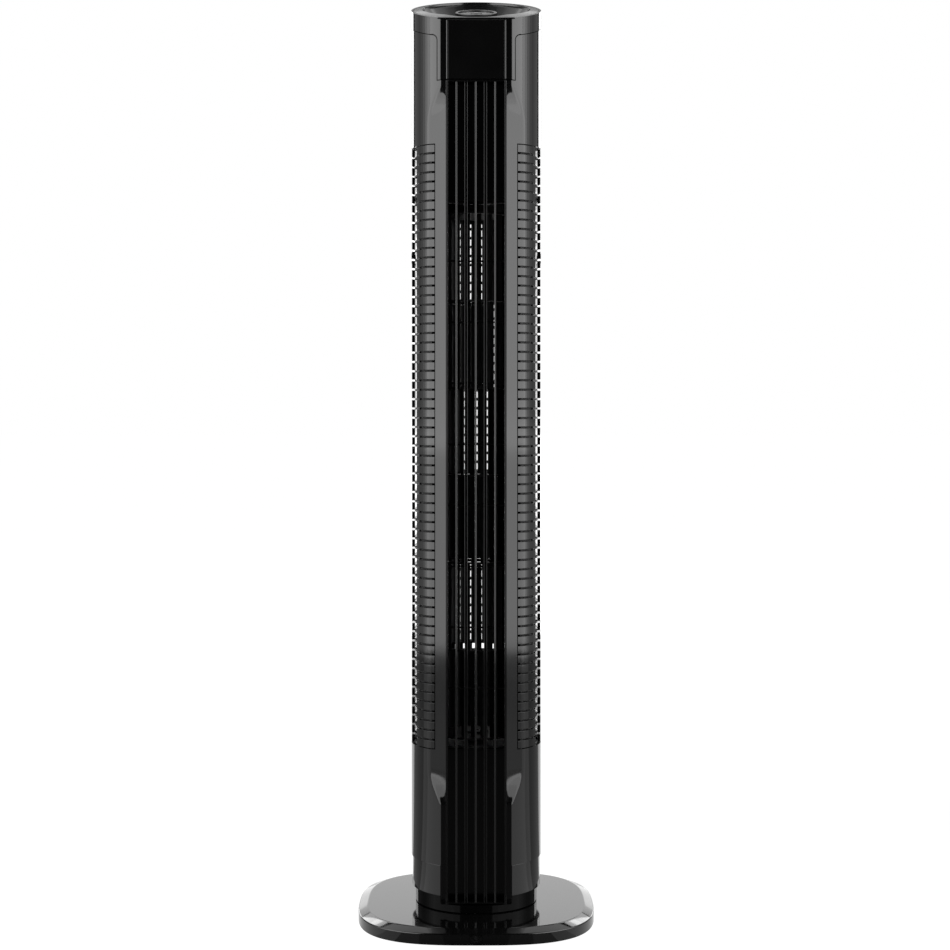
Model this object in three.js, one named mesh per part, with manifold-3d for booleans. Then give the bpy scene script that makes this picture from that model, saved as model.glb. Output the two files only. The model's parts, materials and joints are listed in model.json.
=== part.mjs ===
// A tower fan: a slim column with a cross-flow impeller, swinging on a rounded-square base, with a slanted
// control head. Millimetres, +Z up, the front faces -Y, the floor is z = 0 under the base's centre.
import * as THREE from "three";
import { mergeVertices } from "three/addons/utils/BufferGeometryUtils.js";
import Module from "manifold-3d";

const wasm = await Module();
wasm.setup();

// ---------------------------------------------------------------- driving dimensions
const GAP = 0.3; // air between two pieces that touch
const WALL = 2.5; // moulded shell thickness

const BASE_HALF = 136; // half the base's width and depth
const BASE_POWER = 2.95; // superellipse exponent of its outline
const BASE_BOTTOM = 1.5;
const BASE_SKIRT_TOP = 14.5;
const BASE_DECK = 18.2;
const BASE_BEVEL = 11;

const BODY_R = 75.5;
const HEAD_R = 76;
const COLLAR_R = 74;
const TURNTABLE_R = 70.4;
const TURNTABLE_BOTTOM = 19;
const COLLAR_BOTTOM = 36.4;
const SHELL_BOTTOM = 72;
const CHIN_BOTTOM = 27.8;

const LAND_X = 40; // where the flat front land meets the round side
const LAND_Y = -64;
const CHANNEL_X = 34.8; // half width of the outlet channel
const CHANNEL_BACK = -52;
const SCOOP_X = 55; // where the slanted scoop face meets the round side
const SCOOP_BOTTOM = 150;
const SCOOP_TOP = 890;
const SCOOP_RUN = 62; // height over which a scoop fades out

const LOUVRE_BOTTOM = 202;
const LOUVRE_TOP = 892;
const LOUVRE_ROWS = 8; // each row of windows stands for eight of the fine slots
const RIB = 2.2;
const LOUVRE_X = 47; // where the side windows of the front housing begin
const OUTLET_BOTTOM = 200.3;
const OUTLET_BARS = 6;
const BAR_PITCH = 125.8;
const OUTLET_TOP = OUTLET_BOTTOM + BAR_PITCH * (OUTLET_BARS - 1);
const VANE_PITCH = 11;
const VANES_EACH_SIDE = 2;

const RIM_Z = 1055; // height of the slanted rim plane over the axis
const TILT = THREE.MathUtils.degToRad(18.5);
const HEAD_BAND = 20; // height of the head's band, from the rim plane to the slanted seam
const TONGUE_X = 44;
const TONGUE_BOTTOM = 963.5;
const PANEL_Y = -66;
const BOWL_R = 60;
const BOWL_DEPTH = 16;
const PAD_R = 24.5;

const IMPELLER_Y = 6;
const IMPELLER_R = 47;
const IMPELLER_BOTTOM = 210;
const SEGMENTS = 6;
const SEGMENT_PITCH = 100.67;
const BLADES = 12;
const IMPELLER_TOP = IMPELLER_BOTTOM + SEGMENTS * SEGMENT_PITCH;

const GEAR_MODULE = 1.25;
const SECTOR_TEETH = 48; // teeth of the full circle that the sector is cut from
const PINION_TEETH = 16;
const GEAR_DISTANCE = (GEAR_MODULE * (SECTOR_TEETH + PINION_TEETH)) / 2;
const GEAR_BOTTOM = 29;
const GEAR_TOP = 35;

const ROUND = 36; // facets of the large shells
const SMALL_ROUND = 16; // facets of inner parts

// ---------------------------------------------------------------- materials
const plastic = (color, roughness) => new THREE.MeshStandardMaterial({ color, roughness, metalness: 0 });
const metal = (color, roughness) => new THREE.MeshStandardMaterial({ color, roughness, metalness: 1 });
const glossBlack = plastic(0x0b0b0c, 0.08);
const satinBlack = plastic(0x141415, 0.35);
const mattBlack = plastic(0x19191a, 0.6);
const rubber = plastic(0x1c1c1c, 0.85);
const greyPlastic = plastic(0x3c3e40, 0.5);
const whitePlastic = plastic(0xd8d8d4, 0.4);
const board = plastic(0x1f5a36, 0.5);
const steel = metal(0xa8abb0, 0.35);
const darkSteel = metal(0x55585c, 0.45);

// ---------------------------------------------------------------- solids
// A closed three.js geometry as a manifold-3d solid, with its faces turned outwards.
function solid(geometry) {
  const open = geometry.index ? geometry.toNonIndexed() : geometry.clone();
  open.deleteAttribute("normal");
  open.deleteAttribute("uv");
  const merged = mergeVertices(open, 1e-4);
  const p = merged.attributes.position.array;
  const index = merged.index.array;
  const kept = [];
  let volume = 0;
  for (let i = 0; i < index.length; i += 3) {
    const [a, b, c] = index.slice(i, i + 3);
    if (a === b || b === c || c === a) continue;
    kept.push(a, b, c);
    const [ax, ay, az] = p.slice(3 * a, 3 * a + 3);
    const [bx, by, bz] = p.slice(3 * b, 3 * b + 3);
    const [cx, cy, cz] = p.slice(3 * c, 3 * c + 3);
    volume += ax * (by * cz - bz * cy) + ay * (bz * cx - bx * cz) + az * (bx * cy - by * cx);
  }
  if (volume < 0) kept.reverse();
  return new wasm.Manifold(new wasm.Mesh({ numProp: 3, vertProperties: p, triVerts: new Uint32Array(kept) }));
}

const join = (first, ...rest) => rest.reduce((whole, piece) => whole.add(piece), first);
const cut = (first, ...rest) => rest.reduce((whole, piece) => whole.subtract(piece), first);

function boxGeometry(x0, x1, y0, y1, z0, z1) {
  const g = new THREE.BoxGeometry(x1 - x0, y1 - y0, z1 - z0);
  return g.translate((x0 + x1) / 2, (y0 + y1) / 2, (z0 + z1) / 2);
}
const box = (...sides) => solid(boxGeometry(...sides));

function cylinder(r, z0, z1, x = 0, y = 0, facets = SMALL_ROUND) {
  const g = new THREE.CylinderGeometry(r, r, z1 - z0, facets);
  return solid(g.rotateX(Math.PI / 2).translate(x, y, (z0 + z1) / 2));
}

// A cylinder that lies along Y.
function barrel(r, y0, y1, x, z, facets = SMALL_ROUND) {
  return solid(new THREE.CylinderGeometry(r, r, y1 - y0, facets).translate(x, (y0 + y1) / 2, z));
}

// A profile of [radius, height] pairs turned round the Z axis. It closes on itself.
function turned(profile, facets = SMALL_ROUND) {
  const points = [...profile, profile[0]].map(([r, z]) => new THREE.Vector2(r, z));
  return solid(new THREE.LatheGeometry(points, facets).rotateX(Math.PI / 2));
}

function prism(points, z0, z1) {
  const shape = new THREE.Shape(points.map(([x, y]) => new THREE.Vector2(x, y)));
  const g = new THREE.ExtrudeGeometry(shape, { depth: z1 - z0, bevelEnabled: false });
  return solid(g.translate(0, 0, z0));
}

// Convex outlines of equal count, one above the other, skinned into one closed solid.
function loft(rings) {
  const position = [];
  const tri = (a, b, c) => position.push(...a, ...b, ...c);
  const at = rings.map(({ points, z }) => points.map(([x, y]) => [x, y, z]));
  const n = at[0].length;
  for (let k = 1; k + 1 < n; k++) {
    tri(at[0][0], at[0][k + 1], at[0][k]);
    tri(at.at(-1)[0], at.at(-1)[k], at.at(-1)[k + 1]);
  }
  for (let i = 0; i + 1 < at.length; i++)
    for (let k = 0; k < n; k++) {
      const next = (k + 1) % n;
      tri(at[i][k], at[i][next], at[i + 1][next]);
      tri(at[i][k], at[i + 1][next], at[i + 1][k]);
    }
  const g = new THREE.BufferGeometry();
  return solid(g.setAttribute("position", new THREE.Float32BufferAttribute(position, 3)));
}

function superellipse(half, power, count) {
  const side = (v) => Math.sign(v) * Math.abs(v) ** (2 / power) * half;
  return Array.from({ length: count }, (_, k) => {
    const t = ((k + 0.5) / count) * 2 * Math.PI;
    return [side(Math.cos(t)), side(Math.sin(t))];
  });
}

function arc(r, fromDeg, toDeg, steps, x = 0, y = 0) {
  return Array.from({ length: steps + 1 }, (_, k) => {
    const a = THREE.MathUtils.degToRad(fromDeg + ((toDeg - fromDeg) * k) / steps);
    return [x + r * Math.cos(a), y + r * Math.sin(a)];
  });
}

const mirrorX = (points) => points.map(([x, y]) => [-x, y]).reverse();

// ---------------------------------------------------------------- the scene graph
const fan = new THREE.Group();
const head = new THREE.Group(); // its local Z stands on the slanted rim plane
head.position.z = RIM_Z;
head.rotation.x = TILT;
fan.add(head);
head.updateMatrixWorld(true);
const intoHead = head.matrixWorld.clone().invert();

function add(name, made, material, parent = fan) {
  const m = made.getMesh();
  const stride = m.numProp;
  const position = new Float32Array(m.numVert * 3);
  for (let i = 0; i < m.numVert; i++)
    position.set(m.vertProperties.subarray(i * stride, i * stride + 3), i * 3);
  const g = new THREE.BufferGeometry();
  g.setAttribute("position", new THREE.BufferAttribute(position, 3));
  g.setIndex(new THREE.BufferAttribute(m.triVerts, 1));
  g.computeVertexNormals();
  const mesh = new THREE.Mesh(g, material);
  mesh.name = name;
  parent.add(mesh);
}

// Everything above a plane that is parallel to the rim, a height over the axis.
function aboveSlant(height) {
  const g = boxGeometry(-120, 120, -120, 120, 0, 200).rotateX(TILT).translate(0, 0, height);
  return solid(g);
}

// ---------------------------------------------------------------- base
const SCREW_CIRCLE = 45;
const onCircle = (radius, ...degrees) =>
  degrees.map(THREE.MathUtils.degToRad).map((a) => [radius * Math.cos(a), radius * Math.sin(a)]);
const clampScrews = onCircle(SCREW_CIRCLE, 30, 150, 270);
const POST_HOLE_R = 40;
const NOTCH_X = 7; // the notches in the middle of the skirt's front and back
const NOTCH_BOTTOM = 3.6;
const NOTCH_TOP = 14.2;

function baseShell() {
  const count = 36;
  const ring = (half, z) => ({ points: superellipse(half, BASE_POWER, count), z });
  const outside = loft([
    ring(BASE_HALF, BASE_BOTTOM),
    ring(BASE_HALF, BASE_SKIRT_TOP),
    ring(BASE_HALF - BASE_BEVEL, BASE_DECK),
  ]);
  const inside = loft([
    ring(BASE_HALF - WALL, BASE_BOTTOM - 1),
    ring(BASE_HALF - WALL, BASE_SKIRT_TOP - WALL * 0.4),
    ring(BASE_HALF - BASE_BEVEL - 1, BASE_DECK - WALL),
  ]);
  const notches = box(-NOTCH_X, NOTCH_X, -150, 150, NOTCH_BOTTOM, NOTCH_TOP);
  const holes = clampScrews.map(([x, y]) => cylinder(2.2, 10, 30, x, y, 8));
  return cut(outside, inside, notches, cylinder(POST_HOLE_R, 10, 30, 0, 0, 24), ...holes);
}
add("base_shell", baseShell(), glossBlack);

const coverPoints = superellipse(BASE_HALF - WALL - 0.8, BASE_POWER, 32);
add("base_bottom_cover", prism(coverPoints, BASE_BOTTOM, 3.3), mattBlack);
const ballastPoints = superellipse(112, BASE_POWER, 32);
const ballast = cut(prism(ballastPoints, 3.6, 8.6), cylinder(56, 0, 20));
add("ballast_plate", ballast, darkSteel);

const FOOT_AT = 92;
const footNames = ["foot_rear_right", "foot_rear_left", "foot_front_left", "foot_front_right"];
onCircle(FOOT_AT * Math.SQRT2, 45, 135, 225, 315).forEach(([x, y], k) => {
  add(footNames[k], cylinder(9, 0, 1.2, x, y), rubber);
});

// The gland that the supply lead passes through, in the notch at the back.
const CORD_Z = 8.9;
const glandBlock = join(
  box(-NOTCH_X + GAP, NOTCH_X - GAP, BASE_HALF - 10, BASE_HALF + 1.5, NOTCH_BOTTOM + GAP, NOTCH_TOP - GAP),
  box(-8.5, 8.5, BASE_HALF - 10, BASE_HALF - 4, 4.2, 13),
);
add("cord_gland", cut(glandBlock, barrel(3.6, 118, 150, 0, CORD_Z, 16)), rubber);

// The fixed post that the column turns on, clamped to the deck from below.
const postBody = turned(
  [
    [13, 10.8],
    [39.4, 10.8],
    [39.4, BASE_DECK + GAP],
    [50, BASE_DECK + GAP],
    [50, 21.5],
    [16.5, 21.5],
    [16.5, 46],
    [13, 46],
  ],
  24,
);
const pilotHoles = clampScrews.map(([x, y]) => cylinder(2.1, 15, 20.8, x, y, 8));
add("pivot_post", cut(postBody, ...pilotHoles), greyPlastic);
const clampHoles = clampScrews.map(([x, y]) => cylinder(2.1, 5, 20, x, y, 8));
const clampRing = turned([[40, 11], [52, 11], [52, 15.4], [40, 15.4]], 24);
add("clamp_ring", cut(clampRing, ...clampHoles), steel);
clampScrews.forEach(([x, y], k) => {
  const screw = join(cylinder(3.8, 8.2, 10.7, x, y, 10), cylinder(1.8, 10.6, 20.5, x, y, 8));
  add(`base_screw_${k + 1}`, screw, steel);
});
add("slide_ring", turned([[53.3, 18.5], [60.5, 18.5], [60.5, 20.2], [53.3, 20.2]], 24), whitePlastic);
add("pivot_nut", turned([[16.9, 35.3], [22.5, 35.3], [22.5, 40], [16.9, 40]]), greyPlastic);

// ---------------------------------------------------------------- swing gear
const involute = (angle) => Math.tan(angle) - angle;

// The outline of spur gear teeth with 20 degree involute flanks, thinned for backlash.
function gearTeeth(teeth, firstDeg, count) {
  const pressure = THREE.MathUtils.degToRad(20);
  const backlash = 0.22;
  const pitchR = (GEAR_MODULE * teeth) / 2;
  const baseR = pitchR * Math.cos(pressure);
  const rootR = pitchR - 1.25 * GEAR_MODULE;
  const tipR = pitchR + GEAR_MODULE;
  const halfAtPitch = Math.PI / (2 * teeth) - backlash / (2 * pitchR);
  const half = (r) => halfAtPitch + involute(pressure) - involute(Math.acos(Math.min(1, baseR / r)));
  const flank = [rootR, pitchR, tipR];
  const points = [];
  for (let k = 0; k < count; k++) {
    const centre = THREE.MathUtils.degToRad(firstDeg) + (k * 2 * Math.PI) / teeth;
    for (const r of flank) points.push([r * Math.cos(centre - half(r)), r * Math.sin(centre - half(r))]);
    for (const r of [...flank].reverse())
      points.push([r * Math.cos(centre + half(r)), r * Math.sin(centre + half(r))]);
  }
  return { points, rootR };
}

const SECTOR_COUNT = 17;
const toothDeg = 360 / SECTOR_TEETH;
const firstTooth = 90 - ((SECTOR_COUNT - 1) / 2) * toothDeg;
const sector = gearTeeth(SECTOR_TEETH, firstTooth, SECTOR_COUNT);
const lastTooth = firstTooth + (SECTOR_COUNT - 1) * toothDeg;
const plainRim = arc(sector.rootR, lastTooth + toothDeg / 2, firstTooth - toothDeg / 2 + 360, 14);
const sectorBody = prism([...sector.points, ...plainRim], GEAR_BOTTOM, GEAR_TOP);
add("swing_gear_sector", cut(sectorBody, cylinder(16.9, 20, 40, 0, 0, 24)), whitePlastic);

const pinionStep = 360 / PINION_TEETH;
const pinionTeeth = gearTeeth(PINION_TEETH, 270 + pinionStep / 2, PINION_TEETH).points;
const pinion = join(
  prism(pinionTeeth, GEAR_BOTTOM, GEAR_TOP),
  cylinder(2.5, GEAR_TOP - 1, 36.6, 0, 0, 12),
);
add("swing_pinion", pinion.translate(0, GEAR_DISTANCE, 0), whitePlastic);

// ---------------------------------------------------------------- column: foot
const chinSpace = box(-LAND_X - 0.6, LAND_X + 0.6, -100, CHANNEL_BACK + 2, CHIN_BOTTOM - 0.5, 200);
const turntableBody = turned(
  [
    [17.2, 23],
    [53, 23],
    [53, 20.5],
    [61, 20.5],
    [61, 23],
    [TURNTABLE_R - WALL, 23],
    [TURNTABLE_R - WALL, TURNTABLE_BOTTOM],
    [TURNTABLE_R, TURNTABLE_BOTTOM],
    [TURNTABLE_R, 38.2],
    [TURNTABLE_R - WALL, 38.2],
    [TURNTABLE_R - WALL, 26],
    [21, 26],
    [21, 28.5],
    [17.2, 28.5],
  ],
  ROUND,
);
const MOTOR_EAR = 17.5;
const motorPosts = [-1, 1].map((side) => cylinder(3, 25, 36.7, side * MOTOR_EAR, GEAR_DISTANCE, 12));
add("turntable", join(cut(turntableBody, chinSpace), ...motorPosts), glossBlack);

const swingMotor = join(
  cylinder(14, 37, 56, 0, GEAR_DISTANCE, 24),
  box(-21, 21, GEAR_DISTANCE - 3.5, GEAR_DISTANCE + 3.5, 37, 38),
  box(-8, 8, GEAR_DISTANCE + 8, GEAR_DISTANCE + 17, 39, 54),
);
add("swing_motor", swingMotor, steel);

const collarBody = turned(
  [
    [71.5, COLLAR_BOTTOM],
    [COLLAR_R, COLLAR_BOTTOM],
    [COLLAR_R, SHELL_BOTTOM - GAP],
    [71.5, SHELL_BOTTOM - GAP],
    [71.5, 41],
    [64, 41],
    [64, 38.5],
    [71.5, 38.5],
  ],
  ROUND,
);
add("bottom_collar", cut(collarBody, chinSpace), glossBlack);

// ---------------------------------------------------------------- column: housings
const toDeg = THREE.MathUtils.radToDeg;
const FLANGE_X = 69.3;
const HOUSING_TOP = RIM_Z - HEAD_BAND;

// One side of the front housing's section, from the side seam to the channel; the other is its mirror.
function frontSection(r, landX, landY, steps) {
  const start = -toDeg(Math.asin(GAP / 2 / r));
  const rightSide = arc(r, start, toDeg(Math.atan2(landY, landX)), steps);
  return [...rightSide, ...mirrorX(rightSide)];
}

// Cuts one slanted scoop face beside the channel, with its two ends fading out.
function scoopCutter(side) {
  const inner = new THREE.Vector3(CHANNEL_X, LAND_Y, 0);
  const outer = new THREE.Vector3(SCOOP_X, -Math.sqrt(BODY_R ** 2 - SCOOP_X ** 2), 0);
  const along = outer.clone().sub(inner).normalize();
  const normal = new THREE.Vector3(along.y, -along.x, 0);
  const reach = 40;
  const depth = new THREE.Vector3(LAND_X, LAND_Y, 0).sub(inner).dot(normal) + 0.4;
  const steps = 5;
  const fade = Array.from({ length: steps }, (_, k) => {
    const u = (k + 1) / steps;
    return [depth * u * u, u * SCOOP_RUN];
  });
  const shape = new THREE.Shape(
    [
      [0, SCOOP_BOTTOM],
      [0, SCOOP_TOP],
      ...fade.map(([d, u]) => [d, SCOOP_TOP + u]),
      [20, SCOOP_TOP + SCOOP_RUN],
      [20, SCOOP_BOTTOM - SCOOP_RUN],
      ...[...fade].reverse().map(([d, u]) => [d, SCOOP_BOTTOM - u]),
    ].map(([x, y]) => new THREE.Vector2(x, y)),
  );
  const g = new THREE.ExtrudeGeometry(shape, { depth: reach + 3, bevelEnabled: false });
  const up = new THREE.Vector3(0, 0, 1);
  const place = new THREE.Matrix4().makeBasis(normal, up, along.clone().negate());
  place.setPosition(inner.clone().addScaledVector(along, reach));
  return solid(g.applyMatrix4(place).scale(side, 1, 1));
}

const rowPitch = (LOUVRE_TOP - LOUVRE_BOTTOM) / LOUVRE_ROWS;
const rows = Array.from({ length: LOUVRE_ROWS }, (_, k) => LOUVRE_BOTTOM + k * rowPitch);
const windows = (x0, x1, y0, y1) =>
  rows.map((z) => box(x0, x1, y0, y1, z + RIB / 2, z + rowPitch - RIB / 2));

const SCREW_X = 45;
const SCREW_Z = [184, 905];
const screwPlaces = SCREW_Z.flatMap((z) => [[-SCREW_X, z], [SCREW_X, z]]);

function frontHousing() {
  const outside = prism(frontSection(BODY_R, LAND_X, LAND_Y, 8), CHIN_BOTTOM, RIM_Z + 20);
  const innerHalf = [...arc(BODY_R - WALL, 1, -43, 7), [CHANNEL_X + 2.4, LAND_Y + 4.2]];
  const innerSection = [...innerHalf, [CHANNEL_X + 2.4, CHANNEL_BACK + WALL]];
  const inside = prism([...innerSection, ...mirrorX(innerSection)], 0, 1200);
  const channelClosed = box(-CHANNEL_X, CHANNEL_X, -100, CHANNEL_BACK, 0, 1200);
  const outlet = box(-CHANNEL_X, CHANNEL_X, -100, 0, OUTLET_BOTTOM, OUTLET_TOP);
  const shell = cut(outside, inside, channelClosed, outlet, scoopCutter(1), scoopCutter(-1));
  const flanges = [-1, 1].map((side) => {
    const x = [side * FLANGE_X, side * (BODY_R - 1)].sort((a, b) => a - b);
    return box(...x, -3, -GAP / 2, SHELL_BOTTOM, RIM_Z + 20);
  });
  const posts = screwPlaces.map(([x, z]) =>
    cut(barrel(5, -54, 39.7, x, z, 10), barrel(2.1, 20, 50, x, z, 8)),
  );
  const belowCollar = [-1, 1].map((side) => {
    const x = [side * (LAND_X + 0.01), side * 100].sort((a, b) => a - b);
    return box(...x, -100, 10, 0, SHELL_BOTTOM);
  });
  const chinBack = box(-100, 100, CHANNEL_BACK + WALL, 10, 0, SHELL_BOTTOM);
  const tongue = box(-TONGUE_X - GAP, TONGUE_X + GAP, -100, -30, TONGUE_BOTTOM - GAP, 1200);
  const sideWindows = [...windows(LOUVRE_X, 90, -90, -4), ...windows(-90, -LOUVRE_X, -90, -4)];
  const whole = join(shell, ...flanges, ...posts);
  return cut(whole, ...belowCollar, chinBack, tongue, aboveSlant(HOUSING_TOP - GAP), ...sideWindows);
}
add("front_housing", frontHousing(), glossBlack);

function rearHousing() {
  const seamDeg = toDeg(Math.asin(GAP / 2 / BODY_R));
  const outside = prism(arc(BODY_R, seamDeg, 180 - seamDeg, 18), SHELL_BOTTOM, RIM_Z + 30);
  const inside = prism([...arc(BODY_R - WALL, -1, 181, 18)], 0, 1200);
  const flanges = [-1, 1].map((side) => {
    const x = [side * FLANGE_X, side * (BODY_R - 1)].sort((a, b) => a - b);
    return box(...x, GAP / 2, 3, SHELL_BOTTOM, RIM_Z + 30);
  });
  const bosses = screwPlaces.map(([x, z]) => barrel(6.5, 40, 57.5, x, z, 10));
  const counterbores = screwPlaces.map(([x, z]) => barrel(4.3, 50, 80, x, z, 10));
  const holes = screwPlaces.map(([x, z]) => barrel(2.1, 30, 80, x, z, 8));
  const strut = 43;
  const slots = [
    ...windows(-strut + 2, strut - 2, 30, 90),
    ...windows(strut + 2, 90, 4, 90),
    ...windows(-90, -strut - 2, 4, 90),
  ];
  const whole = join(cut(outside, inside), ...flanges, ...bosses);
  return cut(whole, ...counterbores, ...holes, aboveSlant(HOUSING_TOP - GAP), ...slots);
}
add("rear_housing", rearHousing(), glossBlack);

screwPlaces.forEach(([x, z], k) => {
  const screw = join(barrel(3.9, 50.3, 53, x, z, 10), barrel(1.8, 24, 50.4, x, z, 8));
  add(`housing_screw_${k + 1}`, screw, steel);
});

// The insert in the channel: upright vanes in a frame, with level bars behind them.
function outletGrille() {
  const x = CHANNEL_X - GAP;
  const back = CHANNEL_BACK - GAP;
  const rails = [-1, 1].map((side) => {
    const sides = [side * (x - 1.8), side * x].sort((a, b) => a - b);
    return box(...sides, -64.2, back, CHIN_BOTTOM, TONGUE_BOTTOM - GAP);
  });
  const ends = [
    box(-x, x, -63, back, CHIN_BOTTOM, CHIN_BOTTOM + 2),
    box(-x, x, -63, back, TONGUE_BOTTOM - 2.3, TONGUE_BOTTOM - GAP),
  ];
  const vanes = [];
  for (let k = -VANES_EACH_SIDE; k <= VANES_EACH_SIDE; k++) {
    const at = k * VANE_PITCH;
    vanes.push(box(at - 1.6, at + 1.6, -64, back - 2, CHIN_BOTTOM + 1, TONGUE_BOTTOM - 1));
  }
  const bars = Array.from({ length: OUTLET_BARS }, (_, k) => {
    const z = OUTLET_BOTTOM + k * BAR_PITCH;
    return box(-x, x, back - 2.4, back, z - 1, z + 1);
  });
  return join(...rails, ...ends, ...vanes, ...bars);
}
add("outlet_grille", outletGrille(), glossBlack);

// ---------------------------------------------------------------- column: air path
const innerR = BODY_R - WALL - 0.6;
const channelClear = box(-CHANNEL_X - 2.8, CHANNEL_X + 2.8, -100, CHANNEL_BACK + WALL + 0.6, 0, 1200);
const postsClear = (z) =>
  screwPlaces.filter(([, at]) => Math.abs(at - z) < 20).map(([x, at]) => barrel(5.4, -60, 60, x, at, 10));
const frontFlat = [-1, 1].map((side) => {
  const corner = [[30, -64], [38, -57.4], [54, -48.2], [80, -48], [80, -100]];
  return prism(corner.map(([x, y]) => [side * x, y]), 0, 1200);
});

function deck(z0, z1, holeR, holeY) {
  const plate = cylinder(innerR, z0, z1, 0, 0, ROUND);
  const flangesClear = [-1, 1].map((side) => {
    const x = [side * (FLANGE_X - 0.5), side * 80].sort((a, b) => a - b);
    return box(...x, -3.5, 3.5, z0 - 1, z1 + 1);
  });
  const hole = cylinder(holeR, z0 - 1, z1 + 1, 0, holeY);
  return cut(plate, channelClear, ...frontFlat, ...flangesClear, hole, ...postsClear(z0));
}
const DUCT_FLOOR_TOP = 205;
const DUCT_CEILING = 834;
add("duct_floor", deck(202.5, DUCT_FLOOR_TOP, 17, IMPELLER_Y), mattBlack);
add("duct_ceiling", deck(DUCT_CEILING, 836.5, 9.3, IMPELLER_Y), mattBlack);
add("motor_bracket", deck(84, 87, 20, IMPELLER_Y), greyPlastic);

function guide(r, startDeg, endDeg, steps) {
  const outerArc = arc(r + 1.6, startDeg, endDeg, steps, 0, IMPELLER_Y);
  const innerArc = arc(r, endDeg, startDeg, steps, 0, IMPELLER_Y);
  return prism([...outerArc, ...innerArc], DUCT_FLOOR_TOP + GAP, DUCT_CEILING - GAP);
}
add("volute_guide", guide(52, -46, 48, 8), mattBlack);
add("tongue_guide", guide(49.5, 196, 226, 3), mattBlack);

// ---------------------------------------------------------------- column: drive
const bore = 4.5;
const motorCan = (z0, z1, closedAtTop) => {
  const [open, closed] = closedAtTop ? [z0, z1] : [z1, z0];
  const inner = closedAtTop ? closed - 3 : closed + 3;
  return turned([[41, open], [41, closed], [bore, closed], [bore, inner], [38, inner], [38, open]]);
};
const atImpeller = (made) => made.translate(0, IMPELLER_Y, 0);
add("motor_can_lower", atImpeller(motorCan(95.6, 125, false)), steel);
add("motor_can_upper", atImpeller(motorCan(145.3, 172, true)), steel);
add("motor_stator", atImpeller(turned([[25, 125.3], [43, 125.3], [43, 145], [25, 145]])), darkSteel);
[90, 210, 330].forEach((deg, k) => {
  const [[x, y]] = arc(34, deg, deg, 1, 0, IMPELLER_Y);
  add(`motor_mount_${k + 1}`, cylinder(6, 87.3, 95.3, x, y, 12), rubber);
});
const rotorCore = join(cylinder(24, 122, 148, 0, 0), cylinder(4, 96.2, 197, 0, 0, 12));
add("motor_rotor", atImpeller(rotorCore), steel);
add("run_capacitor", cylinder(9, 92, 128, -50, -26, 16), whitePlastic);
add("main_board", box(-30, 30, 58, 59.6, 100, 150), board);

// ---------------------------------------------------------------- impeller
function bladePoints(k) {
  const step = 360 / BLADES;
  const inner = arc(38.5, k * step, k * step + 2, 1);
  const outer = arc(IMPELLER_R - 0.4, k * step + 11, k * step + 9.4, 1);
  return [...inner, ...outer];
}

function segment(z0, discInner) {
  const disc = turned([[discInner, z0], [IMPELLER_R, z0], [IMPELLER_R, z0 + 2], [discInner, z0 + 2]], 32);
  const blades = Array.from({ length: BLADES }, (_, k) =>
    prism(bladePoints(k), z0 + 1, z0 + SEGMENT_PITCH - GAP),
  );
  return join(disc, ...blades);
}
for (let k = 0; k < SEGMENTS; k++) {
  const z0 = IMPELLER_TOP - (k + 1) * SEGMENT_PITCH;
  const lowest = k === SEGMENTS - 1;
  add(`impeller_segment_${k + 1}`, atImpeller(segment(z0, lowest ? 14.5 : 34)), satinBlack);
}
const hubProfile = [[4.3, 190], [12, 190], [12, 209.7], [14.2, 209.7], [14.2, 214], [4.3, 214]];
add("impeller_hub", atImpeller(turned(hubProfile)), rubber);
const topDisc = join(
  cylinder(IMPELLER_R, IMPELLER_TOP, IMPELLER_TOP + 2, 0, 0, 32),
  cylinder(3.5, IMPELLER_TOP + 1, 842),
);
add("impeller_top_disc", atImpeller(topDisc), satinBlack);
const bushProfile = [[3.9, 830], [8.8, 830], [8.8, 839.5], [3.9, 839.5]];
add("top_bearing", atImpeller(turned(bushProfile)), rubber);

// ---------------------------------------------------------------- control head
function headShell() {
  const drum = cylinder(HEAD_R, 940, 1120, 0, 0, ROUND);
  const hollow = cylinder(HEAD_R - 2.8, 930, 1130, 0, 0, ROUND);
  const band = cut(drum.intersect(aboveSlant(HOUSING_TOP)), hollow);
  const tongueFront = box(-TONGUE_X, TONGUE_X, -100, -52, TONGUE_BOTTOM, 1120);
  const tongueHollow = box(-TONGUE_X + WALL, TONGUE_X - WALL, LAND_Y + WALL, -40, 900, 1130);
  const tongue = cut(drum.intersect(tongueFront), tongueHollow);
  const frontFace = box(-LAND_X, LAND_X, -100, LAND_Y, 900, 1130);
  const rimSeat = hollow.intersect(aboveSlant(RIM_Z - 2.9));
  return cut(join(band, tongue), frontFace, aboveSlant(RIM_Z), rimSeat);
}
add("head_shell", headShell(), glossBlack);

const panel = box(-CHANNEL_X + 0.7, CHANNEL_X - 0.7, PANEL_Y, LAND_Y - GAP, TONGUE_BOTTOM + 0.3, 1100);
add("front_panel", cut(panel, aboveSlant(RIM_Z)), glossBlack);

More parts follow.
